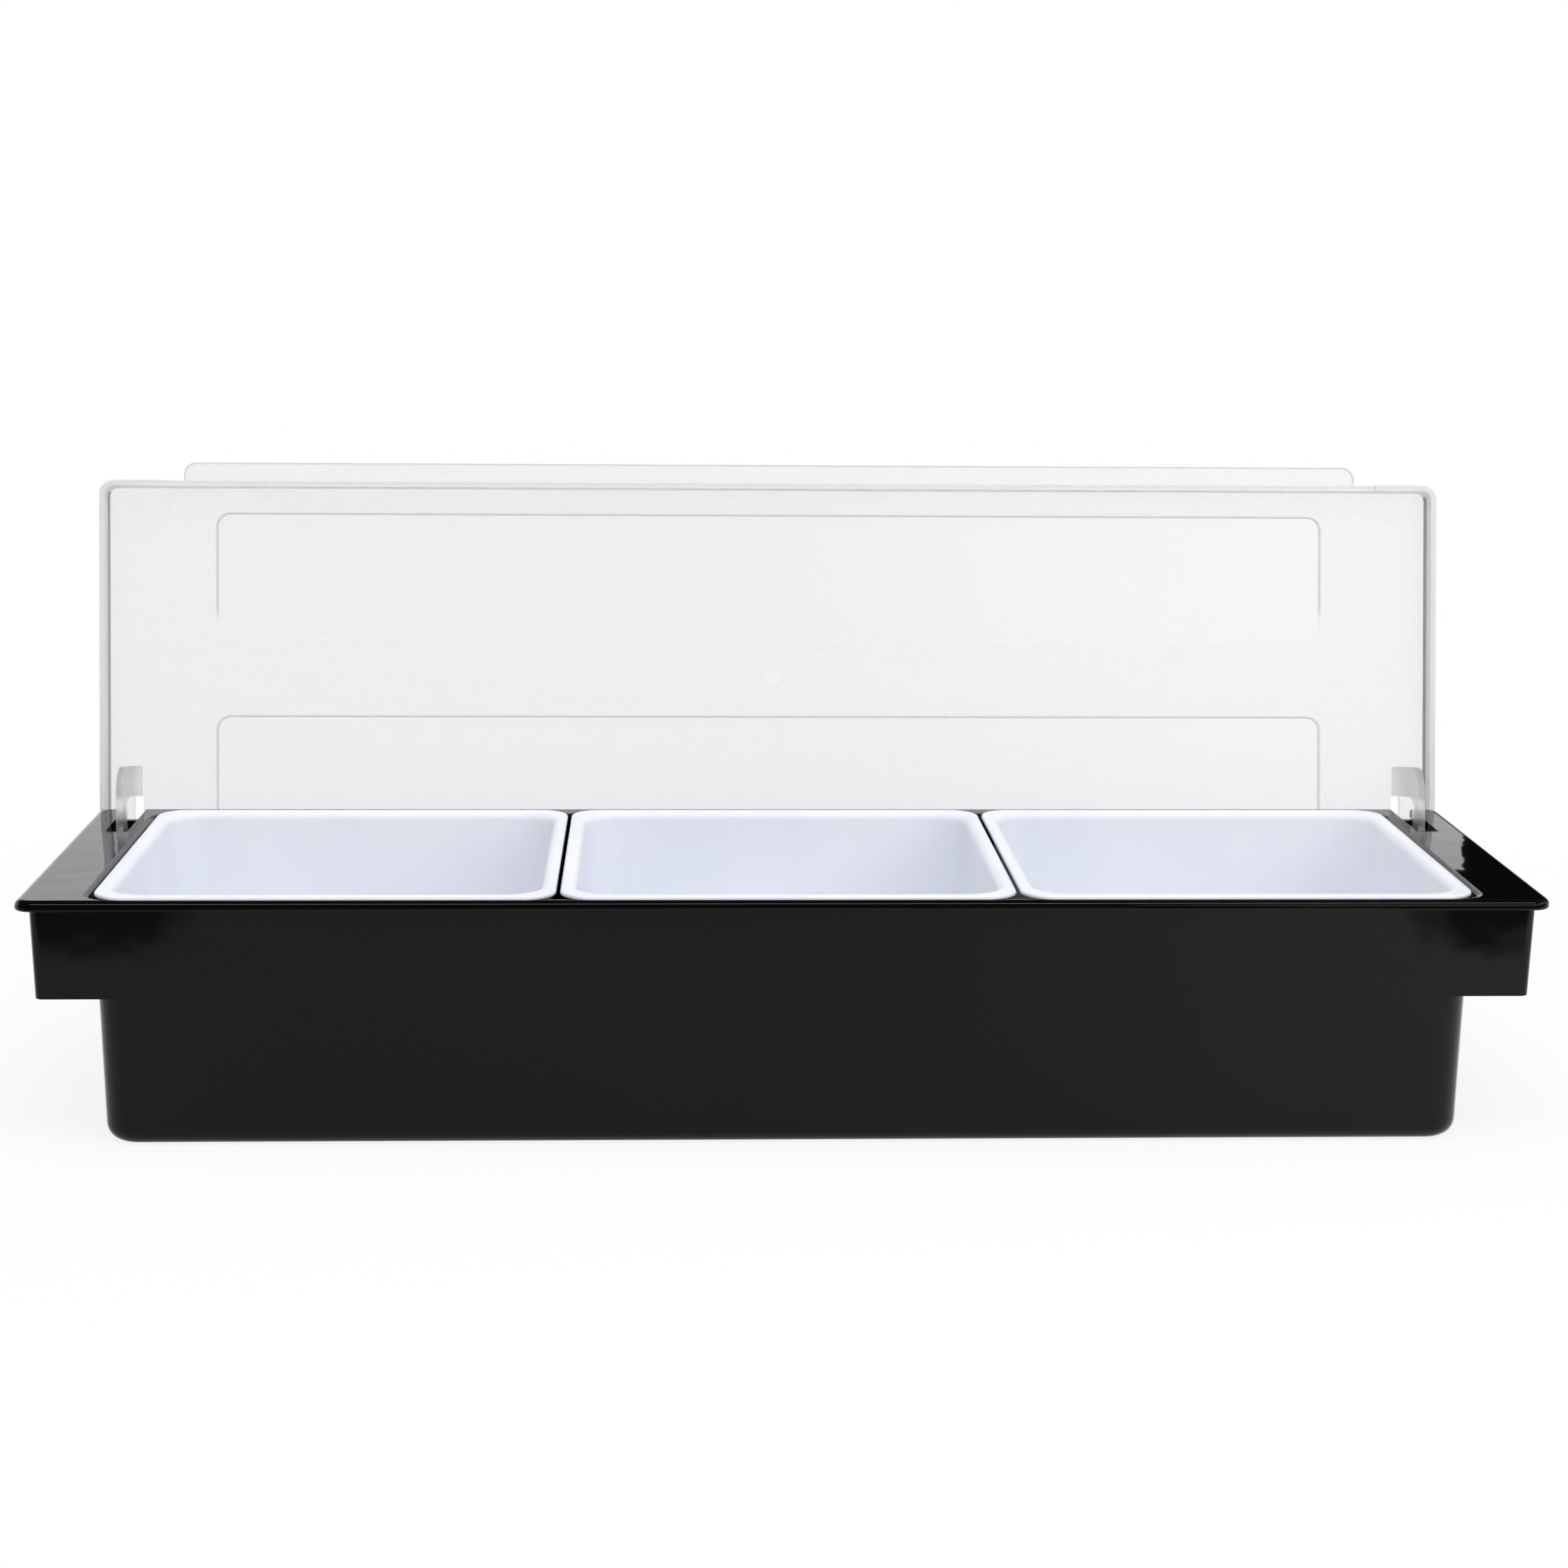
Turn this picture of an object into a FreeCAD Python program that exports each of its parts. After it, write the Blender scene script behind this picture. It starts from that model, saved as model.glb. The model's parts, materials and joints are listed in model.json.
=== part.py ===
import FreeCAD, Part
import math
import os
import Sketcher

# Condiment holder: a black tray with end wings, three lift-out inserts and a hinged frosted lid.
# Frame: +X along the length, +Y to the back, +Z up, origin at the centre of the tray's underside.
# At rest the lid stands open, leaning back on its stop.

Vector = FreeCAD.Vector
doc = FreeCAD.newDocument("condiment_holder")
sizes = doc.addObject("Spreadsheet::Sheet", "sizes")
places = doc.addObject("Spreadsheet::Sheet", "places")


def fill(sheet, cells):
    for row, (alias, text) in enumerate(cells.items(), start=1):
        sheet.set("A%d" % row, alias)
        sheet.set("B%d" % row, text)
        sheet.setAlias("B%d" % row, alias)
    doc.recompute()


INSERTS = ("insert_left", "insert_middle", "insert_right")

# Driving sizes, in millimetres and degrees.
SIZES = {
    # tray, flange and wings
    "wing_reach": 22.8,
    "flange_depth": 152,
    "flange_thick": 3.5,
    "flange_corner": 6,
    "flange_edge": 2.5,
    "flange_low_edge": 0.7,
    "front_overhang": 2.4,
    "end_overhang": 4.7,
    "back_overhang": 9.3,
    "base_height": 83,
    "end_flare": 3.8,
    "body_corner": 11,
    "bottom_round": 6,
    "wall": 2.5,
    "floor_thick": 2.5,
    "draft": 1.5,
    "wing_drop": 33,
    "wing_corner": 3,
    "seam_margin": 1.1,
    "opening_corner": 6,
    "opening_round": 2.2,
    # arm slots, hinge housings and the ribs in front of the slots
    "slot_gap": 3,
    "slot_width": 8,
    "slot_margin": 2.5,
    "rib_thick": 1.6,
    "rib_setback": 2,
    "rib_drop": 18,
    # inserts
    "insert_width": 148.6,
    "ice_depth": 16.9,
    "insert_gap": 1.4,
    "insert_wall": 1.6,
    "insert_draft": 4,
    "insert_corner": 14,
    "insert_foot_round": 9,
    "round_margin": 0.4,
    "insert_clearance": 0.6,
    "end_clearance": 1.6,
    "rim_reach": 3.45,
    "rim_thick": 1.2,
    "rim_corner": 10,
    "rim_edge": 0.8,
    "rim_fillet": 1.5,
    "mouth_round": 3,
    # lid
    "lid_wall": 2,
    "lid_corner": 5.5,
    "lid_round": 1.6,
    "lid_draft": 2,
    "skirt_depth": 10,
    "seat_gap": 0.3,
    "stop_gap": 0.3,
    "lip_end_margin": 31,
    "lip_reach": 6.5,
    "lip_thick": 2,
    "lip_corner": 4.5,
    "panel_end_margin": 41.7,
    "panel_edge_margin": 11.5,
    "panel_back_margin": 13.8,
    "panel_gap": 28.5,
    "panel_corner": 5,
    "panel_relief": 0.5,
    "gate_width": 5,
    "gate_height": 0.5,
    # lid arms, pins and bearings
    "open_angle": 100,
    "pivot_setback": 12,
    "pivot_drop": 10.6,
    "swing_gap": 0.4,
    "arm_thick": 2.6,
    "arm_shift": 1,
    "arm_width": 11,
    "arm_ahead": 17,
    "arm_reach": 19,
    "arm_round": 10,
    "arm_inner_round": 5,
    "leg_width": 8,
    "heel_round": 8,
    "hub_width": 8.4,
    "window_margin": 0.4,
    "pin_width": 4.6,
    "pin_length": 2.4,
    "pin_clearance": 0.08,
    "pin_end_gap": 0.4,
    "bearing_gap": 0.7,
    "bearing_wall": 2.2,
}

fill(sizes, {alias: str(size) for alias, size in SIZES.items()})

# Places that follow from the sizes.
PLACES = {
    "insert_count": str(len(INSERTS)),
    "opening_half": "=(insert_count * sizes.insert_width + (insert_count - 1) * sizes.insert_gap) / 2"
                    " + sizes.end_clearance",
    "flange_half": "=opening_half + sizes.wing_reach",
    "body_half": "=(sizes.flange_depth - sizes.front_overhang - sizes.back_overhang) / 2",
    "flange_front": "=-(body_half + sizes.front_overhang)",
    "flange_back": "=body_half + sizes.back_overhang",
    "flange_under": "=sizes.base_height - sizes.flange_thick",
    "wing_floor": "=sizes.base_height - sizes.wing_drop",
    # outer faces of the tray at the rim, at the wings' lower edge and at the underside
    "opening_back": "=body_half - sizes.wall",
    "end_rim": "=opening_half + sizes.wall",
    "end_wing": "=end_rim - sizes.end_flare",
    "end_foot": "=end_wing - wing_floor * tan(sizes.draft)",
    "end_under": "=end_rim - (end_rim - end_wing) * sizes.flange_thick / sizes.wing_drop",
    "back_wing": "=body_half - sizes.wing_drop * tan(sizes.draft)",
    "back_foot": "=body_half - sizes.base_height * tan(sizes.draft)",
    "waist_corner": "=sizes.body_corner + wing_floor * tan(sizes.draft)",
    "back_under": "=body_half - sizes.flange_thick * tan(sizes.draft)",
    # wings and hinge housings
    "wing_draw": "=(sizes.wing_drop - sizes.flange_thick) * tan(sizes.draft)",
    "wing_root": "=end_wing - 2 * sizes.body_corner",
    "wing_end": "=flange_half - sizes.end_overhang",
    "wing_seam": "=end_rim + sizes.seam_margin",
    "slot_middle": "=wing_end - sizes.wall - sizes.slot_margin - sizes.slot_width / 2",
    "pivot_back": "=flange_back - sizes.pivot_setback",
    "slot_front": "=pivot_back - sizes.arm_ahead - sizes.arm_width - sizes.slot_gap",
    "rib_back": "=slot_front - sizes.rib_setback",
    # inserts, about their own middle at the underside of the rim
    "insert_pitch": "=sizes.insert_width + sizes.insert_gap",
    "insert_half": "=sizes.insert_width / 2 - sizes.rim_reach",
    "insert_back": "=opening_back - sizes.insert_clearance",
    "insert_drop": "=sizes.base_height - sizes.floor_thick - sizes.ice_depth",
    "mouth_inset": "=sizes.insert_wall - sizes.rim_thick * tan(sizes.insert_draft)",
    "foot_corner": "=sizes.insert_corner - insert_drop * tan(sizes.insert_draft)",
    "insert_foot_round": "=min(sizes.insert_foot_round; foot_corner - sizes.round_margin)",
    # lid, about its pivot axis and as it lies closed; its skirt swings clear of the flange's back edge
    "pivot_height": "=sizes.base_height - sizes.pivot_drop",
    "swing_radius": "=sqrt(sizes.pivot_setback ^ 2 + sizes.pivot_drop ^ 2) + sizes.swing_gap",
    "skirt_low": "=sizes.pivot_drop + sizes.seat_gap",
    "skirt_back": "=sqrt(swing_radius ^ 2 - skirt_low ^ 2)",
    "lid_back": "=skirt_back + sizes.lid_wall",
    "panel_low": "=skirt_low + sizes.skirt_depth",
    "lid_top": "=panel_low + sizes.lid_wall",
    # the open lid leans its back skirt on the hinge housings, whose back face is drafted
    "stop_reach": "=min(skirt_back * cos(sizes.open_angle); lid_back * cos(sizes.open_angle))"
                  " + skirt_low * sin(sizes.open_angle)",
    "stop_fall": "=lid_back * sin(sizes.open_angle) - skirt_low * cos(sizes.open_angle)",
    "stop_draw": "=(stop_fall + sizes.pivot_drop - sizes.flange_thick) * tan(sizes.draft)",
    "housing_back": "=pivot_back + stop_reach - sizes.stop_gap + stop_draw",
    "lip_front": "=sizes.pivot_setback - sizes.flange_depth",
    "lid_front": "=lip_front + sizes.lip_reach",
    "lip_half": "=flange_half - sizes.lip_end_margin",
    "panel_depth": "=(lid_back - lid_front - sizes.panel_edge_margin - sizes.panel_back_margin"
                   " - sizes.panel_gap) / 2",
    "field_one": "=lid_front + sizes.panel_edge_margin",
    "field_two": "=field_one + panel_depth + sizes.panel_gap",
    "gate_place": "=field_two - sizes.panel_gap / 2",
    "panel_half": "=flange_half - sizes.panel_end_margin",
    # lid arms
    "arm_inner": "=slot_middle + sizes.arm_shift - sizes.arm_thick / 2",
    "arm_outer": "=arm_inner + sizes.arm_thick",
    "arm_back": "=-sizes.arm_ahead",
    "arm_front": "=arm_back - sizes.arm_width",
    "arm_root": "=panel_low + sizes.lid_wall / 2",
    "hub_half": "=sizes.hub_width / 2",
    "leg_low": "=-sizes.arm_reach",
    "leg_high": "=leg_low + sizes.leg_width",
    "bearing_face": "=arm_outer + sizes.bearing_gap",
    "bearing_half": "=sizes.pin_width / 2 + sizes.pin_clearance",
}
fill(places, PLACES)


def number(expression):
    result = sizes.evalExpression(expression)
    return float(getattr(result, "Value", result))


def new_body(label):
    body = doc.addObject("PartDesign::Body", label)
    body.Label = label
    return body


def origin_plane(body, role):
    return next(feature for feature in body.Origin.OriginFeatures if feature.Role == role)


def new_sketch(body, name, role, offset):
    sketch = body.newObject("Sketcher::SketchObject", name)
    sketch.AttachmentSupport = [(origin_plane(body, role), "")]
    sketch.MapMode = "FlatFace"
    sketch.setExpression("AttachmentOffset.Base.z", offset)
    return sketch


# A sketch's own axes, the first of which also holds its origin, and the points of one of its curves.
LEVEL_AXIS, UPRIGHT_AXIS = range(-1, -3, -1)
START, END, CENTRE = range(1, 4)


def bind(sketch, constraint, expression):
    index = sketch.addConstraint(constraint)
    sketch.setExpression("Constraints[%d]" % index, expression)


def locate(sketch, curve, point, kind, place):
    """Fixes a curve's point at its distance from the sketch's origin, level or upright."""
    if place == "0":
        axis = UPRIGHT_AXIS if kind == "DistanceX" else LEVEL_AXIS
        sketch.addConstraint(Sketcher.Constraint("PointOnObject", curve, point, axis))
    else:
        bind(sketch, Sketcher.Constraint(kind, LEVEL_AXIS, START, curve, point, number(place)), place)


def outline(sketch, corners):
    """Draws a closed outline of level and upright lines, counter-clockwise.

    Each corner is (x, y, radius) as expressions, with radius None where it is sharp.
    """
    spots = [Vector(number(x), number(y), 0) for x, y, radius in corners]
    count = len(corners)
    ways = [(spots[(i + 1) % count] - spots[i]).normalize() for i in range(count)]
    radii = [number(radius) if radius else 0.0 for x, y, radius in corners]
    first = sketch.GeometryCount
    for i in range(count):
        start = spots[i] + ways[i] * radii[i]
        end = spots[(i + 1) % count] - ways[i] * radii[(i + 1) % count]
        sketch.addGeometry(Part.LineSegment(start, end))
        x, y, radius = corners[i]
        if abs(ways[i].x) > abs(ways[i].y):
            sketch.addConstraint(Sketcher.Constraint("Horizontal", first + i))
            locate(sketch, first + i, START, "DistanceY", y)
        else:
            sketch.addConstraint(Sketcher.Constraint("Vertical", first + i))
            locate(sketch, first + i, START, "DistanceX", x)
    for i in range(count):
        before = first + (i - 1) % count
        after = first + i
        radius = corners[i][2]
        if not radius:
            sketch.addConstraint(Sketcher.Constraint("Coincident", before, END, after, START))
            continue
        way_in = ways[(i - 1) % count]
        way_out = ways[i]
        middle = spots[i] + (way_out - way_in) * radii[i]
        turns_left = way_in.cross(way_out).z > 0
        near, far = (-way_out, way_in) if turns_left else (way_in, -way_out)
        angles = [math.atan2(way.y, way.x) for way in (near, far)]
        ring = Part.Circle(middle, Vector(0, 0, 1), radii[i])
        arc = sketch.addGeometry(Part.ArcOfCircle(ring, *angles))
        entry, leave = (START, END) if turns_left else (END, START)
        sketch.addConstraint(Sketcher.Constraint("Tangent", before, END, arc, entry))
        sketch.addConstraint(Sketcher.Constraint("Tangent", arc, leave, after, START))
        bind(sketch, Sketcher.Constraint("Radius", arc, radii[i]), radius)


def rectangle(sketch, left, right, front, back, corner):
    spots = [(left, front), (right, front), (right, back), (left, back)]
    outline(sketch, [(x, y, corner) for x, y in spots])


def centred(sketch, half_length, half_depth, corner):
    rectangle(sketch, "-(%s)" % half_length, half_length, "-(%s)" % half_depth, half_depth, corner)


def circle(sketch, x, y, radius):
    middle = Vector(number(x), number(y), 0)
    ring = sketch.addGeometry(Part.Circle(middle, Vector(0, 0, 1), number(radius)))
    locate(sketch, ring, CENTRE, "DistanceX", x)
    locate(sketch, ring, CENTRE, "DistanceY", y)
    bind(sketch, Sketcher.Constraint("Radius", ring, number(radius)), radius)


volumes = {}


def checked(body, feature, grows):
    """Recomputes after a feature and makes sure that it added to the body, or cut it."""
    doc.recompute()
    body.Tip = feature
    change = feature.Shape.Volume - volumes.get(body.Name, 0.0)
    volumes[body.Name] = feature.Shape.Volume
    if (change > 0) != grows or "Invalid" in feature.State:
        raise RuntimeError("%s changed the volume of %s by %.3f" % (feature.Name, body.Label, change))
    return feature


def loft(body, name, sections, grows=True):
    kind = "PartDesign::AdditiveLoft" if grows else "PartDesign::SubtractiveLoft"
    feature = body.newObject(kind, name)
    feature.Profile = sections[0]
    feature.Sections = sections[1:]
    feature.Ruled = True
    return checked(body, feature, grows)


def prism(body, kind, name, profile, length, flipped, taper):
    feature = body.newObject(kind, name)
    feature.Profile = profile
    feature.setExpression("Length", length)
    feature.Reversed = flipped
    if taper:
        feature.setExpression("TaperAngle", taper)
    return feature


def pad(body, name, profile, length, flipped=False, taper=None):
    return checked(body, prism(body, "PartDesign::Pad", name, profile, length, flipped, taper), True)


def pocket(body, name, profile, depth, flipped=False, taper=None):
    return checked(body, prism(body, "PartDesign::Pocket", name, profile, depth, flipped, taper), False)


def mirror(body, name, originals, grows):
    feature = body.newObject("PartDesign::Mirrored", name)
    feature.Originals = originals
    feature.MirrorPlane = (origin_plane(body, "YZ_Plane"), [""])
    return checked(body, feature, grows)


def fillet(body, name, radius, wanted, grows):
    """Rounds the edges of the body's last feature that the test wants."""
    base = body.Tip
    feature = body.newObject("PartDesign::Fillet", name)
    edges = ["Edge%d" % i for i, edge in enumerate(base.Shape.Edges, start=1) if wanted(edge.BoundBox)]
    feature.Base = (base, edges)
    feature.setExpression("Radius", radius)
    return checked(body, feature, grows)


def level(height):
    """A test for edges that lie level at one height."""
    z = number(height)
    return lambda box: abs(box.ZMin - z) < 1e-4 and abs(box.ZMax - z) < 1e-4


def within(height, half_length, half_depth):
    """A test for level edges inside a rectangle about the middle."""
    lies_level = level(height)
    x = number(half_length)
    y = number(half_depth)
    return lambda box: (lies_level(box) and -x < box.XMin and box.XMax < x
                        and -y < box.YMin and box.YMax < y)


def base_moulding():
    body = new_body("base_moulding")

    # Solid tray: drafted walls below the wings, end walls flared to the opening above their lower edge.
    foot = new_sketch(body, "tray_foot", "XY_Plane", "0")
    centred(foot, "places.end_foot", "places.back_foot", "sizes.body_corner")
    pad(body, "tray_block", foot, "places.wing_floor", taper="sizes.draft")
    fillet(body, "tray_bottom_round", "sizes.bottom_round", level("0"), False)
    waist = new_sketch(body, "tray_waist", "XY_Plane", "places.wing_floor")
    centred(waist, "places.end_wing", "places.back_wing", "places.waist_corner")
    mouth = new_sketch(body, "tray_rim", "XY_Plane", "sizes.base_height")
    centred(mouth, "places.end_rim", "places.body_half", "sizes.opening_corner + sizes.wall")
    loft(body, "tray_flare", [waist, mouth])

    # Flange all round, with its outer edges eased.
    rim = new_sketch(body, "flange_outline", "XY_Plane", "places.flange_under")
    rectangle(rim, "-places.flange_half", "places.flange_half", "places.flange_front", "places.flange_back",
              "sizes.flange_corner")
    pad(body, "flange", rim, "sizes.flange_thick")
    fillet(body, "flange_top_round", "sizes.flange_edge", level("sizes.base_height"), False)
    under = level("places.flange_under")
    inner = within("places.flange_under", "places.end_rim", "places.body_half")
    fillet(body, "flange_low_round", "sizes.flange_low_edge", lambda box: under(box) and not inner(box),
           False)

    # Wing at the +X end, flush with the tray's front, and the deeper hinge housing behind it.
    blocks = []
    for name, root_high, root_low, front, back in (
            ("wing", "places.wing_root", "places.wing_root", "-places.back_under", "places.back_under"),
            ("housing", "places.end_under - sizes.wall", "places.end_wing - sizes.wall", "0",
             "places.housing_back")):
        sections = []
        for where, height, root, draw in (("high", "places.flange_under", root_high, ""),
                                          ("low", "places.wing_floor", root_low, " - places.wing_draw")):
            section = new_sketch(body, name + "_" + where, "XY_Plane", height)
            near = front if front == "0" else "-(%s%s)" % (front[1:], draw)
            rectangle(section, root, "places.wing_end" + draw, near, back + draw, "sizes.wing_corner")
            sections.append(section)
        blocks.append(loft(body, name, sections))
    mirror(body, "far_wing", blocks, True)

    # The tray's inside, one wall thinner than the outside.
    waist = new_sketch(body, "inside_waist", "XY_Plane", "places.wing_floor")
    centred(waist, "places.end_wing - sizes.wall", "places.back_wing - sizes.wall",
            "places.waist_corner - sizes.wall")
    mouth = new_sketch(body, "inside_mouth", "XY_Plane", "sizes.base_height")
    centred(mouth, "places.opening_half", "places.opening_back", "sizes.opening_corner")
    loft(body, "flare_inside", [mouth, waist], grows=False)
    pocket(body, "tray_inside", waist, "places.wing_floor - sizes.floor_thick", taper="-sizes.draft")
    fillet(body, "floor_round", "sizes.bottom_round - sizes.wall", level("sizes.floor_thick"), True)
    fillet(body, "opening_round", "sizes.opening_round",
           within("sizes.base_height", "places.end_rim", "places.body_half"), False)

    # Hollow of the +X wing, open below as a finger hold.
    hollow = []
    for where, height, root, draw in (
            ("high", "places.flange_under", "places.end_under", ""),
            ("low", "places.wing_floor", "places.end_wing", " - places.wing_draw")):
        section = new_sketch(body, "hollow_" + where, "XY_Plane", height)
        front = "-(places.back_under%s - sizes.wall)" % draw
        rectangle(section, root, "places.wing_end - sizes.wall" + draw, front,
                  "places.housing_back - sizes.wall" + draw, None)
        hollow.append(section)
    cut = loft(body, "wing_hollow", hollow, grows=False)
    mirror(body, "far_wing_hollow", [cut], False)

    # Slot for the lid's arm, open through the flange's back edge.
    slot = new_sketch(body, "slot_outline", "XY_Plane", "sizes.base_height")
    rectangle(slot, "places.slot_middle - sizes.slot_width / 2",
              "places.slot_middle + sizes.slot_width / 2",
              "places.slot_front", "places.flange_back + sizes.flange_corner", None)
    cut = pocket(body, "arm_slot", slot, "sizes.flange_thick")
    mirror(body, "far_arm_slot", [cut], False)

    # Rib across the wing in front of the slot.
    rib = new_sketch(body, "rib_outline", "XY_Plane", "places.flange_under")
    rectangle(rib, "places.end_under - sizes.wall / 2", "places.wing_end - sizes.wall / 2",
              "places.rib_back - sizes.rib_thick", "places.rib_back", None)
    web = pad(body, "wing_rib", rib, "sizes.rib_drop", flipped=True)

    # Bearing on the wing's end wall for the arm's stub pin.
    ring = new_sketch(body, "bearing_outline", "YZ_Plane", "places.bearing_face")
    circle(ring, "places.pivot_back", "places.pivot_height", "places.bearing_half + sizes.bearing_wall")
    boss = pad(body, "bearing", ring, "places.wing_end - sizes.wall / 2 - places.bearing_face")
    mirror(body, "far_bearing", [web, boss], True)
    bore = new_sketch(body, "bore_outline", "YZ_Plane", "places.bearing_face")
    circle(bore, "places.pivot_back", "places.pivot_height", "places.bearing_half")
    cut = pocket(body, "bearing_bore", bore, "sizes.pin_length - sizes.bearing_gap + sizes.pin_end_gap",
                 flipped=True)
    mirror(body, "far_bearing_bore", [cut], False)
    return body


def stretch(label, moulding, low, high):
    """A node of its own for the stretch of a moulding between two planes across its length."""
    block = doc.addObject("Part::Box", label + "_stretch")
    block.setExpression("Placement.Base.x", low)
    block.setExpression("Placement.Base.y", "places.flange_front - sizes.wall")
    block.setExpression("Placement.Base.z", "-sizes.wall")
    block.setExpression("Length", "%s - (%s)" % (high, low))
    block.setExpression("Width", "sizes.flange_depth + 2 * sizes.wall")
    block.setExpression("Height", "sizes.base_height + 2 * sizes.wall")
    node = doc.addObject("Part::Common", label)
    node.Label = label
    node.Base = moulding
    node.Tool = block
    return node


def insert(label, position):
    body = new_body(label)

    # Rim plate over the tray's edge.
    rim = new_sketch(body, label + "_rim_outline", "XY_Plane", "0")
    centred(rim, "sizes.insert_width / 2", "places.insert_back + sizes.rim_reach", "sizes.rim_corner")
    pad(body, label + "_rim", rim, "sizes.rim_thick")
    fillet(body, label + "_rim_round", "sizes.rim_edge", level("sizes.rim_thick"), False)

    # Drafted bucket below the rim, joined to it by a small fillet.
    top = new_sketch(body, label + "_bucket_outline", "XY_Plane", "0")
    centred(top, "places.insert_half", "places.insert_back", "sizes.insert_corner")
    pad(body, label + "_bucket", top, "places.insert_drop", flipped=True, taper="-sizes.insert_draft")
    fillet(body, label + "_rim_fillet", "sizes.rim_fillet",
           within("0", "places.insert_half + sizes.rim_reach / 2",
                  "places.insert_back + sizes.rim_reach / 2"), True)

    # Pocket for the food, one wall inside the bucket, and the rounded foot that follows its floor.
    mouth = new_sketch(body, label + "_mouth", "XY_Plane", "sizes.rim_thick")
    centred(mouth, "places.insert_half - places.mouth_inset", "places.insert_back - places.mouth_inset",
            "sizes.insert_corner - places.mouth_inset")
    pocket(body, label + "_pocket", mouth, "places.insert_drop + sizes.rim_thick - sizes.insert_wall",
           taper="-sizes.insert_draft")
    fillet(body, label + "_floor_round", "places.insert_foot_round - sizes.insert_wall",
           level("sizes.insert_wall - places.insert_drop"), True)
    fillet(body, label + "_foot_round", "places.insert_foot_round", level("-places.insert_drop"), False)
    fillet(body, label + "_mouth_round", "sizes.mouth_round",
           within("sizes.rim_thick", "places.insert_half", "places.insert_back"), False)

    body.setExpression("Placement.Base.x", position)
    body.setExpression("Placement.Base.z", "sizes.base_height")
    return body


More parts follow.
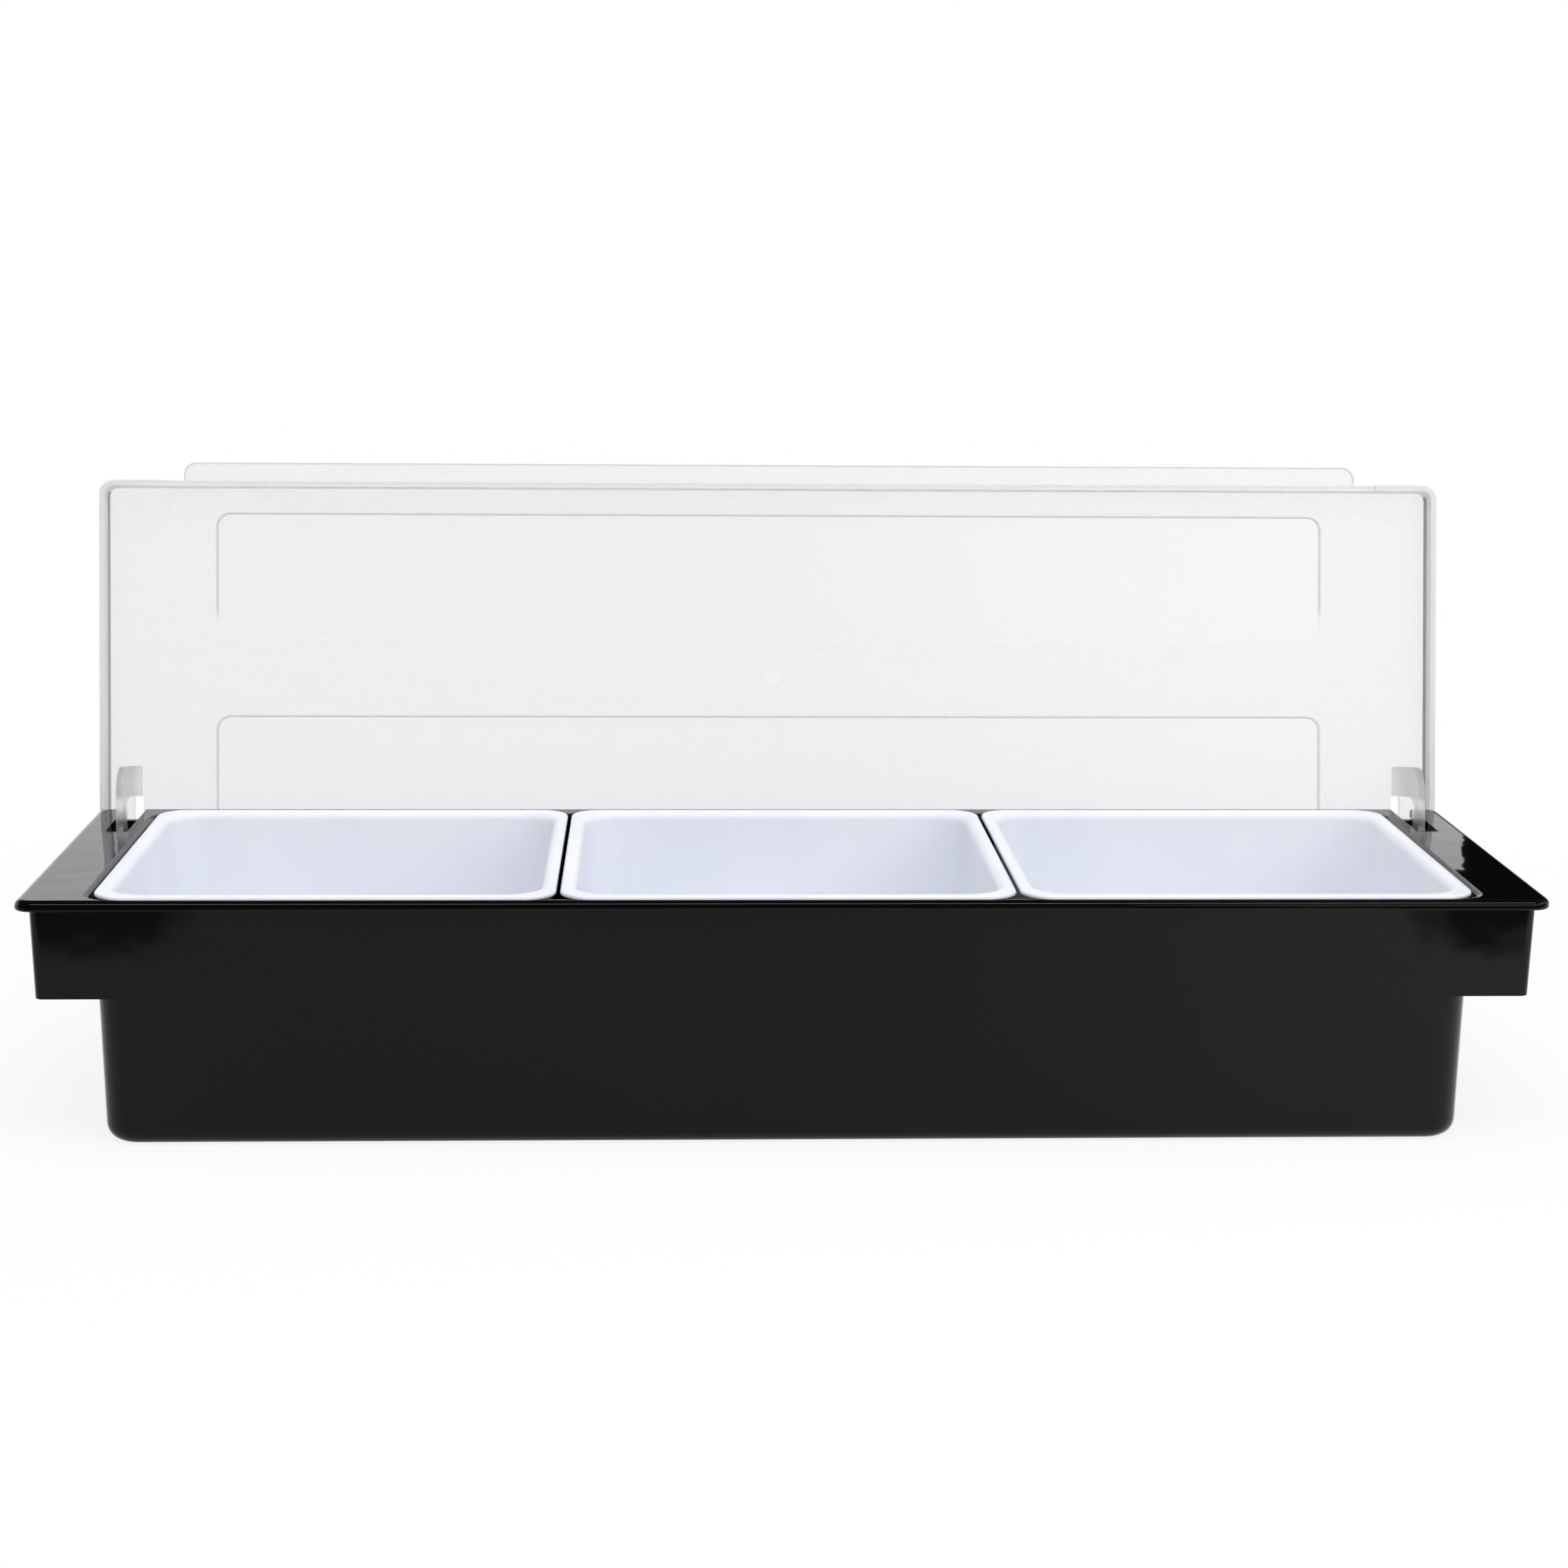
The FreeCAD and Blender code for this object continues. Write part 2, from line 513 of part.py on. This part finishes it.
def lid():
    body = new_body("lid")

    # Shallow box, wider at the skirt's free edge, with its top edge rounded.
    skirt = new_sketch(body, "skirt_outline", "XY_Plane", "places.skirt_low")
    rectangle(skirt, "-places.flange_half", "places.flange_half", "places.lid_front", "places.lid_back",
              "sizes.lid_corner")
    pad(body, "lid_block", skirt, "sizes.skirt_depth + sizes.lid_wall", taper="-sizes.lid_draft")
    fillet(body, "lid_top_round", "sizes.lid_round", level("places.lid_top"), False)

    # Underside of the panel and inside of the skirt.
    inside = new_sketch(body, "lid_inside_outline", "XY_Plane", "places.skirt_low")
    rectangle(inside, "-(places.flange_half - sizes.lid_wall)", "places.flange_half - sizes.lid_wall",
              "places.lid_front + sizes.lid_wall", "places.skirt_back",
              "sizes.lid_corner - sizes.lid_wall")
    pocket(body, "lid_inside", inside, "sizes.skirt_depth", flipped=True, taper="-sizes.lid_draft")

    # Round the pivot axis the end skirts are cut away, so that they swing past the flange's back edge.
    swing = new_sketch(body, "swing_outline", "YZ_Plane", "-places.flange_half")
    circle(swing, "0", "0", "places.swing_radius")
    pocket(body, "swing_relief", swing, "2 * places.flange_half", flipped=True)

    # The front skirt is shorter by the inserts' rims, which it closes on.
    relief = new_sketch(body, "rim_relief_outline", "XY_Plane", "places.skirt_low")
    rectangle(relief, "-places.opening_half", "places.opening_half", "places.lip_front",
              "places.lid_front + 2 * sizes.lid_wall", None)
    pocket(body, "rim_relief", relief, "sizes.rim_thick", flipped=True)

    # Lip along the front skirt's free edge.
    lip = new_sketch(body, "lip_outline", "XY_Plane", "places.skirt_low + sizes.rim_thick")
    root = "places.lid_front + sizes.lid_wall / 2"
    outline(lip, [("-places.lip_half", "places.lip_front", "sizes.lip_corner"),
                  ("places.lip_half", "places.lip_front", "sizes.lip_corner"),
                  ("places.lip_half", root, None), ("-places.lip_half", root, None)])
    pad(body, "lip", lip, "sizes.lip_thick")

    # Two embossed fields: raised above, sunk below by as much.
    fields = []
    for where, height in (("above", "places.lid_top"), ("below", "places.panel_low")):
        section = new_sketch(body, "fields_" + where, "XY_Plane", height)
        for front in ("places.field_one", "places.field_two"):
            back = front + " + places.panel_depth"
            rectangle(section, "-places.panel_half", "places.panel_half", front, back, "sizes.panel_corner")
        fields.append(section)
    pad(body, "fields_raised", fields[0], "sizes.panel_relief")
    pocket(body, "fields_sunk", fields[1], "sizes.panel_relief", flipped=True)

    # Moulding gate between the fields, on the underside.
    gate = new_sketch(body, "gate_outline", "XY_Plane", "places.panel_low")
    circle(gate, "0", "places.gate_place", "sizes.gate_width / 2")
    pad(body, "gate", gate, "sizes.gate_height", flipped=True)

    # Window through the panel over each arm's leg, which lets the arm be moulded in one piece.
    window = new_sketch(body, "window_outline", "XY_Plane", "places.lid_top")
    rectangle(window, "places.arm_inner - sizes.window_margin", "places.arm_outer + sizes.window_margin",
              "places.arm_back + sizes.window_margin", "places.hub_half", None)
    cut = pocket(body, "arm_window", window, "sizes.lid_wall")
    mirror(body, "far_arm_window", [cut], False)

    # Gooseneck arm: down from the panel, back along the leg and up to the hub on the pivot axis.
    neck = new_sketch(body, "arm_outline", "YZ_Plane", "places.arm_inner")
    outline(neck, [("places.arm_front", "places.arm_root", None),
                   ("places.arm_front", "places.leg_low", "sizes.arm_round"),
                   ("places.hub_half", "places.leg_low", "sizes.heel_round"),
                   ("places.hub_half", "0", None),
                   ("-places.hub_half", "0", None),
                   ("-places.hub_half", "places.leg_high", "sizes.arm_inner_round"),
                   ("places.arm_back", "places.leg_high", "sizes.arm_inner_round"),
                   ("places.arm_back", "places.arm_root", None)])
    arm = pad(body, "arm", neck, "sizes.arm_thick")
    disc = new_sketch(body, "hub_outline", "YZ_Plane", "places.arm_inner")
    circle(disc, "0", "0", "places.hub_half")
    hub = pad(body, "hub", disc, "sizes.arm_thick")
    stub = new_sketch(body, "pin_outline", "YZ_Plane", "places.arm_outer")
    circle(stub, "0", "0", "sizes.pin_width / 2")
    pin = pad(body, "stub_pin", stub, "sizes.pin_length")
    mirror(body, "far_arm", [arm, hub, pin], True)

    leaning = FreeCAD.Rotation(Vector(-1, 0, 0), number("sizes.open_angle"))
    body.Placement = FreeCAD.Placement(Vector(), leaning)
    body.setExpression("Placement.Rotation.Angle", "sizes.open_angle")
    body.setExpression("Placement.Base.y", "places.pivot_back")
    body.setExpression("Placement.Base.z", "places.pivot_height")
    return body


# The base is one moulding, kept as three nodes: the tray and, outside its end walls, the two wings.
base = base_moulding()
nodes = [
    stretch("base_tray", base, "-places.wing_seam", "places.wing_seam"),
    stretch("left_wing", base, "-(places.flange_half + sizes.wall)", "-places.wing_seam"),
    stretch("right_wing", base, "places.wing_seam", "places.flange_half + sizes.wall"),
]
for index, label in enumerate(INSERTS):
    nodes.append(insert(label, "(%d - (places.insert_count - 1) / 2) * places.insert_pitch" % index))
nodes.append(lid())
doc.recompute()

failed = [item.Name for item in doc.Objects if "Invalid" in item.State or "Error" in item.State]
if failed:
    raise RuntimeError("failed: " + ", ".join(failed))
for node in nodes:
    if node.Shape.isNull() or not node.Shape.isValid() or len(node.Shape.Solids) != 1:
        raise RuntimeError(node.Label + " is not one valid solid")

os.makedirs("parts", exist_ok=True)
for node in nodes:
    node.Shape.exportStep("parts/%s.step" % node.Label)
    box = node.Shape.BoundBox
    print("%-14s %9.0f mm3  X %.1f..%.1f  Y %.1f..%.1f  Z %.1f..%.1f" % (
        node.Label, node.Shape.Volume, box.XMin, box.XMax, box.YMin, box.YMax, box.ZMin, box.ZMax))
print("pivot Y %.4f Z %.4f" % (number("places.pivot_back"), number("places.pivot_height")))
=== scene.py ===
import json
import math

import bpy
from mathutils import Matrix, Vector


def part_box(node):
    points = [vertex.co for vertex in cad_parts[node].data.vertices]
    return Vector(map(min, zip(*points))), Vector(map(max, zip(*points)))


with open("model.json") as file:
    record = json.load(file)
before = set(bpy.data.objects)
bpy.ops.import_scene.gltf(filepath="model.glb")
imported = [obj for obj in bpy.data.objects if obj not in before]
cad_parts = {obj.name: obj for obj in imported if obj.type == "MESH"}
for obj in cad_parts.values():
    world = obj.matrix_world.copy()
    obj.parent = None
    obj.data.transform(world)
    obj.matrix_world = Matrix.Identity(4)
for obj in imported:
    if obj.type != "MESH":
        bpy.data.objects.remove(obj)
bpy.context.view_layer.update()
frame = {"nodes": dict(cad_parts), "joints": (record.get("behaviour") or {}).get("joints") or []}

# The base: one glossy black moulding with a flange, two hollow end wings and a deep tray.
# Injection moulded, so its flat faces are very slightly wavy where they shrank over the walls
# below, and its gloss is a little uneven.


class Wire:
    """A shader value. Plain arithmetic on it adds Math nodes to its material."""

    def __init__(self, tree, socket=None):
        self.tree = tree
        self.socket = socket

    def node(self, kind, settings=(), sockets=(), output=0):
        """Adds a node: its settings first, then the value or link of each of its sockets."""
        made = self.tree.nodes.new(kind)
        for name, value in dict(settings).items():
            setattr(made, name, value)
        for name, value in dict(sockets).items():
            if isinstance(value, Wire):
                self.tree.links.new(value.socket, made.inputs[name])
            else:
                made.inputs[name].default_value = value
        return Wire(self.tree, made.outputs[output])

    def maths(self, operation, *values):
        return self.node("ShaderNodeMath", {"operation": operation}, dict(enumerate(values)))

    def __add__(self, other):
        return self.maths("ADD", self, other)

    def __sub__(self, other):
        return self.maths("SUBTRACT", self, other)

    def __rsub__(self, other):
        return self.maths("SUBTRACT", other, self)

    def __mul__(self, other):
        return self.maths("MULTIPLY", self, other)

    def __abs__(self):
        return self.maths("ABSOLUTE", self)

    __radd__ = __add__
    __rmul__ = __mul__

    def step(self, low, high):
        """Rises smoothly from 0 at low to 1 at high."""
        return self.node("ShaderNodeMapRange", {"interpolation_type": "SMOOTHSTEP"},
                         {"Value": self, "From Min": low, "From Max": high})

    def mix(self, first, second):
        """Blends two colours, the second where this value is 1."""
        return self.node("ShaderNodeMix", {"data_type": "RGBA"}, {0: self, 6: first, 7: second}, output=2)


def moulding(name, **constants):
    """A new plastic material: itself, its shader and the coordinates on its pieces in metres."""
    material = bpy.data.materials.new(name)
    material.use_nodes = True
    tree = material.node_tree
    shader = tree.nodes["Principled BSDF"]
    for socket, value in constants.items():
        shader.inputs[socket.replace("_", " ")].default_value = value
    return material, shader, Wire(tree).node("ShaderNodeTexCoord", output="Object")


def plug(shader, **wires):
    """Links values to a shader's sockets."""
    for socket, wire in wires.items():
        wire.tree.links.new(wire.socket, shader.inputs[socket.replace("_", " ")])


def mottle(place, scale, detail=1.0):
    """An even noise between 0 and 1, finer the larger its scale."""
    return place.node("ShaderNodeTexNoise", sockets={"Vector": place, "Scale": scale, "Detail": detail})


def bumps(height, strength, depth):
    """A normal that makes a value look raised, by this depth in metres."""
    return height.node("ShaderNodeBump", sockets={"Strength": strength, "Distance": depth, "Height": height})


def dress(node, material):
    """Gives a carried-over node its material."""
    obj = frame["nodes"][node]
    obj.data.materials.clear()
    obj.data.materials.append(material)


BLACK = (0.0016, 0.0016, 0.0019, 1)
BLACK_DUSTED = (0.0026, 0.0026, 0.0029, 1)
BLACK_SPECULAR = 0.23
HAZE_SCALE, HAZE_DETAIL = 9.0, 3.0
GRAIN_SCALE = 900.0
WAVE_SCALE = 16.0
RIPPLE_SCALE = 75.0
DUST_FROM, DUST_FULL = 0.35, 0.75
WAVE_RISE, RIPPLE_RISE, GRAIN_RISE = 1.3, 0.25, 0.0004
BLACK_BUMP, BLACK_DEPTH = 1.0, 0.0005
POLISH, HAZE_DULLS, GRAIN_DULLS = 0.01, 0.03, 0.01
black, shader, place = moulding("black_gloss_plastic", Specular_IOR_Level=BLACK_SPECULAR)
haze = mottle(place, HAZE_SCALE, HAZE_DETAIL)
grain = mottle(place, GRAIN_SCALE)
wave = mottle(place, WAVE_SCALE)
ripple = mottle(place, RIPPLE_SCALE)
relief = wave * WAVE_RISE + ripple * RIPPLE_RISE + grain * GRAIN_RISE
plug(shader, Base_Color=haze.step(DUST_FROM, DUST_FULL).mix(BLACK, BLACK_DUSTED),
     Roughness=haze * HAZE_DULLS + grain * GRAIN_DULLS + POLISH,
     Normal=bumps(relief, BLACK_BUMP, BLACK_DEPTH))
for node in ("base_tray", "left_wing", "right_wing"):
    dress(node, black)

# The inserts: three white food buckets that hang in the tray by their rims and lift out.
# Each is moulded in one piece, in a faintly blue white with a satin skin.

WHITE = (0.80, 0.825, 0.90, 1)
WHITE_THICK = (0.86, 0.875, 0.92, 1)
WHITE_IOR = 1.47
CLOUD_SCALE, CLOUD_DETAIL = 14.0, 2.0
SATIN_SCALE = 1400.0
THICK_FROM, THICK_FULL = 0.3, 0.7
SATIN_RISE = 0.1
WHITE_BUMP, WHITE_DEPTH = 0.5, 0.0002
SATIN, CLOUD_DULLS, SATIN_DULLS = 0.27, 0.1, 0.06
white, shader, place = moulding("white_satin_plastic", IOR=WHITE_IOR)
cloud = mottle(place, CLOUD_SCALE, CLOUD_DETAIL)
satin = mottle(place, SATIN_SCALE)
plug(shader, Base_Color=cloud.step(THICK_FROM, THICK_FULL).mix(WHITE, WHITE_THICK),
     Roughness=cloud * CLOUD_DULLS + satin * SATIN_DULLS + SATIN,
     Normal=bumps(satin * SATIN_RISE + cloud, WHITE_BUMP, WHITE_DEPTH))
for insert in ("insert_left", "insert_middle", "insert_right"):
    dress(insert, white)

# The lid: one frosted clear moulding with a skirt, a front lip and two hinge arms, whose pins clip
# into the wings. Its face is finely sparked except for two smoother embossed fields, its skirt is
# milky and its arms are left clear. Grey painted shade lines run round the fields, the lip and the
# end skirts' roots, and painted highlights lie along the fields' lower ends and on the gate mark.

LID_HALF = 0.2487
LID_WALL = 0.002
SKIRT_ROOT = 0.0209
ROOT_SHADE = 0.006
FIELD_HALF = 0.207
FIELD_DEPTH = 0.047
FIELD_GAP = 0.0285
FIELD_MARGIN = 0.0115
FIELD_CORNER = 0.005
GLINT_FROM, GLINT_FULL = FIELD_DEPTH * 0.2, FIELD_DEPTH * 0.45
LIP_HALF = 0.2177
LIP_REACH = 0.0065
LIP_CORNER = 0.0045
GATE_HALF = 0.0025
ARM_AHEAD = 0.0285
LINE = 0.0005
LINE_CORE = 0.3
FROST = (0.93, 0.936, 0.952, 1)
# The pale flecks of the sparked grain, also used for painted highlights on the fields' lower ends and the
# gate mark.
FROST_PALE_AND_HIGHLIGHT = (0.995, 0.997, 1.0, 1)
FROST_FIELD = (0.965, 0.967, 0.976, 1)
# Painted shade: the grey of the lines round the fields and the lip.
PAINTED_EDGE_SHADE = (0.66, 0.66, 0.68, 1)
SKIRT_FRONT = (0.98, 0.98, 0.985, 1)
SKIRT_END = (0.97, 0.97, 0.975, 1)
PAINTED_ROOT_SHADE = (0.20, 0.20, 0.21, 1)
ARM_GREY = (0.97, 0.972, 0.975, 1)
CLEAR, MILKY = 0.94, 0.45
LID_IOR = 1.49
SPARK_SCALE, SPARK_DETAIL = 1000.0, 2.0
SPARK_FROM, SPARK_FULL = 0.3, 0.7
SPARK_BUMP, SPARK_DEPTH = 0.35, 0.0002
FROSTING, SPARK_DULLS = 0.28, 0.12
FIELD_POLISH = 0.3
hinge = next(joint for joint in frame["joints"] if joint["name"] == "lid_hinge")
pivot = Vector(hinge["pos_m"])
closing = math.radians(hinge["range_deg"][1])
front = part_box("base_tray")[0].y - pivot.y + LIP_REACH
frosted, shader, place = moulding("frosted_clear_plastic", Transmission_Weight=CLEAR, IOR=LID_IOR)
closed = place.node("ShaderNodeVectorRotate", {"rotation_type": "X_AXIS"},
                    {"Vector": place, "Center": pivot, "Angle": closing})
lying = closed.node("ShaderNodeVectorMath", {"operation": "SUBTRACT"}, {0: closed, 1: pivot})


def parts(vector, axes):
    """The parts of a vector along the named axes."""
    return (vector.node("ShaderNodeSeparateXYZ", sockets={0: vector}, output=axis) for axis in axes)


def outline(x, y, half_length, half_depth, corner):
    """Distance from the outline of a rounded rectangle about the middle, along it and round its corners."""
    along = abs(x) - (half_length - corner)
    along = along.maths("MAXIMUM", along, 0.0)
    across = abs(y) - (half_depth - corner)
    across = across.maths("MAXIMUM", across, 0.0)
    reach = along * along + across * across
    return reach.maths("SQRT", reach) - corner


def thin(distance, width):
    """A line of the width where a distance passes 0."""
    return 1 - abs(distance).step(width * LINE_CORE, width)


def overlay(share, shader, second):
    """Shows a second shader over a material's own, by this share."""
    own = Wire(share.tree, shader.outputs[0])
    both = share.node("ShaderNodeMixShader", sockets={0: share, 1: own, 2: second})
    plug(share.tree.nodes["Material Output"], Surface=both)


x, y, z = parts(lying, "XYZ")
middle = front + FIELD_MARGIN + FIELD_DEPTH + FIELD_GAP / 2
row = (FIELD_GAP + FIELD_DEPTH) / 2
from_middle = y - middle
field_y = from_middle - from_middle.maths("SIGN", from_middle) * row
field = outline(x, field_y, FIELD_HALF, FIELD_DEPTH / 2, FIELD_CORNER)
smooth = 1 - field.step(-LINE, LINE)
field_end = field_y.step(GLINT_FROM, GLINT_FULL)
# Painted shade: grey lines along the embossed fields' edges, except at their lower ends, and round the front
# lip.
field_edge_shade = thin(field, LINE) * (1 - field_end)
# Painted highlight: a pale line along the lower end of each field.
field_end_highlight = thin(field, LINE) * field_end
lip = outline(x, y - (front + LID_HALF), LIP_HALF, LID_HALF + LIP_REACH, LIP_CORNER)
lip_edge_shade = thin(lip, LINE) * (1 - y.step(front - LINE, front))
skirt = (1 - z.step(SKIRT_ROOT - LINE, SKIRT_ROOT)) * y.step(front - LINE, front)
end = abs(x).step(LID_HALF - LID_WALL - 2 * LINE, LID_HALF - LID_WALL - LINE)
inside = 1 - abs(x).step(LID_HALF - LID_WALL / 2 - LINE, LID_HALF - LID_WALL / 2)
# Painted shade: the inner faces of the end skirts darken towards their root at the face.
skirt_root_shade = skirt * end * inside * z.step(SKIRT_ROOT - ROOT_SHADE, SKIRT_ROOT - ROOT_SHADE / 2)
arm = skirt * (1 - end) * y.step(-ARM_AHEAD - LINE, -ARM_AHEAD)
# The gate mark in the middle is left smoother, and painted pale: a painted highlight on it.
gate_mark_highlight = 1 - outline(x, from_middle, GATE_HALF, GATE_HALF, GATE_HALF).step(-LINE, LINE)
spark = mottle(place, SPARK_SCALE, SPARK_DETAIL)
colour = spark.step(SPARK_FROM, SPARK_FULL).mix(FROST, FROST_PALE_AND_HIGHLIGHT)
for share, tint in ((smooth, FROST_FIELD), (skirt, SKIRT_FRONT), (skirt * end, SKIRT_END),
                    (skirt_root_shade, PAINTED_ROOT_SHADE), (field_edge_shade + lip_edge_shade, PAINTED_EDGE_SHADE), (arm, ARM_GREY),
                    (gate_mark_highlight + field_end_highlight, FROST_PALE_AND_HIGHLIGHT)):
    colour = share.step(0, 1).mix(colour, tint)
rough = 1 - (smooth + gate_mark_highlight) * FIELD_POLISH
sparked = bumps(spark * rough, SPARK_BUMP, SPARK_DEPTH)
roughness = (spark * SPARK_DULLS + FROSTING) * rough
plug(shader, Base_Color=colour, Roughness=roughness, Normal=sparked)
milky = place.node("ShaderNodeBsdfPrincipled", sockets={
    "Base Color": colour, "Roughness": roughness, "Normal": sparked,
    "Transmission Weight": MILKY, "IOR": LID_IOR})
overlay((skirt - arm).step(0, 1), shader, milky)
dress("lid", frosted)

# The studio: a pale floor that turns white away from the object, a wide white screen behind, soft
# lights overhead, in front and on the right, and a narrow strip above the front edge. Only gloss
# mirrors the screen's edges, the floor's darker patches and a dark card behind the right end.

SCREEN_WHITE = (1, 1, 1, 1)
SCREEN_DIM = (0.955, 0.955, 0.963, 1)
FLOOR_PALE = (0.9, 0.9, 0.9, 1)
FLOOR_DIM = (0.66, 0.66, 0.68, 1)
FLOOR_DARK = (0.1, 0.1, 0.1, 1)
FLOOR_REACH = 6.0
FLOOR_ROUGH = 0.9
LEFT_FULL, LEFT_END = 0, 0.3
FRONT_FULL, FRONT_END = -0.1, 0.1
CORNER_SHIFT = 0.018
CORNER_FROM, CORNER_FULL = 0.245, 0.275
CORNER_AHEAD_FULL, CORNER_AHEAD_END = -0.32, -0.27
DIM_FULL, DIM_END = 0.05, 0.3
SHADOW_FULL, SHADOW_END = 0.24, 0.6
NEAR_WHITE, FAR_ADDS = 0.86, 0.14
AMBIENT = 0.55
SCREEN_FROM, SCREEN_FULL = -0.1, 0.4
SCREEN_TOP, SCREEN_CLEAR = 0.3, 0.55
SCREEN_GLOW, ROOM_GLOW = 1.1, 0.05


def sheet(name, corners):
    """A flat sheet between four corners."""
    mesh = bpy.data.meshes.new(name)
    mesh.from_pydata(corners, [], [(0, 1, 2, 3)])
    obj = bpy.data.objects.new(name, mesh)
    bpy.context.scene.collection.objects.link(obj)
    return obj


def light_rays(start):
    """1 on rays from the camera, on those that gloss mirrors and on those that pass a clear piece."""
    seen, glossy, passed = (start.node("ShaderNodeLightPath", output="Is %s Ray" % kind)
                            for kind in ("Camera", "Glossy", "Transmission"))
    return seen, glossy * (1 - passed), passed


floor = sheet("floor", [(-FLOOR_REACH, -FLOOR_REACH, 0), (FLOOR_REACH, -FLOOR_REACH, 0),
                        (FLOOR_REACH, FLOOR_REACH, 0), (-FLOOR_REACH, FLOOR_REACH, 0)])
paper, shader, place = moulding("pale_floor", Base_Color=FLOOR_PALE, Roughness=FLOOR_ROUGH,
                                Specular_IOR_Level=0.0)
seen, mirrored, passed = light_rays(place)
distance = place.node("ShaderNodeVectorMath", {"operation": "LENGTH"}, {0: place}, output="Value")
across, back = parts(place, "XY")
left_front = (1 - across.step(LEFT_FULL, LEFT_END)) * (1 - back.step(FRONT_FULL, FRONT_END))
tone = (mirrored * left_front).mix(SCREEN_WHITE, FLOOR_DIM)
corner_ahead = 1 - back.step(CORNER_AHEAD_FULL, CORNER_AHEAD_END)
front_corners = abs(across - CORNER_SHIFT).step(CORNER_FROM, CORNER_FULL) * corner_ahead
tone = (mirrored * front_corners).mix(tone, FLOOR_DARK)
# Clear pieces see the floor dimmer on the left: a dim patch that stands in for shade on the left of the lid.
tone = (passed * (1 - across.step(DIM_FULL, DIM_END))).mix(tone, SCREEN_DIM)
glow = place.node("ShaderNodeEmission", sockets={"Color": tone, "Strength": 1.0})
whiteness = distance.step(SHADOW_FULL, SHADOW_END) * FAR_ADDS + NEAR_WHITE
overlay((seen + mirrored + passed) * whiteness, shader, glow)
floor.data.materials.append(paper)

world = bpy.data.worlds.new("studio")
bpy.context.scene.world = world
world.use_nodes = True
ahead = Wire(world.node_tree).node("ShaderNodeTexCoord", output="Generated")
seen, mirrored, passed = light_rays(ahead)
back, up = parts(ahead, "YZ")
plain = 1 - (seen + mirrored + passed)
sky = world.node_tree.nodes["Background"]
sky.inputs["Color"].default_value = SCREEN_WHITE
screen = back.step(SCREEN_FROM, SCREEN_FULL) * (1 - up.step(SCREEN_TOP, SCREEN_CLEAR))
plug(sky, Strength=plain * AMBIENT + seen + passed + mirrored * (screen * SCREEN_GLOW + ROOM_GLOW))


def softbox(name, stand, target, width, height, watts):
    """A rectangular soft light that stands at a place and faces its target."""
    lamp = bpy.data.lights.new(name, "AREA")
    lamp.shape = "RECTANGLE"
    lamp.size = width
    lamp.size_y = height
    lamp.energy = watts
    box = bpy.data.objects.new(name, lamp)
    box.location = stand
    box.rotation_euler = (Vector(target) - Vector(stand)).to_track_quat("-Z", "Y").to_euler()
    box.visible_camera = False
    bpy.context.scene.collection.objects.link(box)
    return box


overhead = softbox("overhead", stand=(0, -0.2, 1.6), target=(0, 0, 0), width=1.6, height=1.2, watts=11)
overhead.visible_glossy = False
softbox("front_fill", stand=(1.0, -1.5, 0.9), target=(0, 0, 0.05), width=1.2, height=0.8, watts=3.4)
softbox("right_fill", stand=(1.3, -0.4, 0.8), target=(-0.1, 0, 0.06), width=0.8, height=0.6, watts=2.6)
softbox("strip", stand=(0, -0.7, 1.3), target=(0, 0, 0.08), width=1.4, height=0.06, watts=4)

FELT_BLACK = (0.004, 0.004, 0.004, 1)
CARD_EDGE, CARD_REACH, CARD_BACK, CARD_HEIGHT = 0.46, 1.6, 0.8, 0.7
card = sheet("dark_card", [(CARD_EDGE, CARD_BACK, 0), (CARD_REACH, CARD_BACK, 0),
                           (CARD_REACH, CARD_BACK, CARD_HEIGHT), (CARD_EDGE, CARD_BACK, CARD_HEIGHT)])
card.data.materials.append(
    moulding("black_felt", Base_Color=FELT_BLACK, Roughness=1.0, Specular_IOR_Level=0.0)[0])
card.visible_camera = False
card.visible_diffuse = False
card.visible_transmission = False
card.visible_shadow = False

# The camera stands in front of the holder, a little left of its middle and above its rim, and
# looks slightly down. Its lens and place were fitted to the corners of the flange.

LENS_MM = 68.24
SENSOR_MM = 36.0
STAND = Vector((-0.0404, -1.00395, 0.3011))
YAW, PITCH, ROLL, LEVEL = (math.radians(angle) for angle in (-2.34, -10.91, -0.47, 90))
lens = bpy.data.cameras.new("photo_camera")
lens.lens = LENS_MM
lens.sensor_width = SENSOR_MM
camera = bpy.data.objects.new("photo_camera", lens)
turn = Matrix.Rotation(YAW, 3, "Z") @ Matrix.Rotation(PITCH, 3, "X") @ Matrix.Rotation(ROLL, 3, "Y")
turn = turn @ Matrix.Rotation(LEVEL, 3, "X")
camera.matrix_world = Matrix.Translation(STAND) @ turn.to_4x4()
bpy.context.scene.collection.objects.link(camera)
bpy.context.scene.camera = camera
bpy.context.scene.view_settings.view_transform = "Standard"
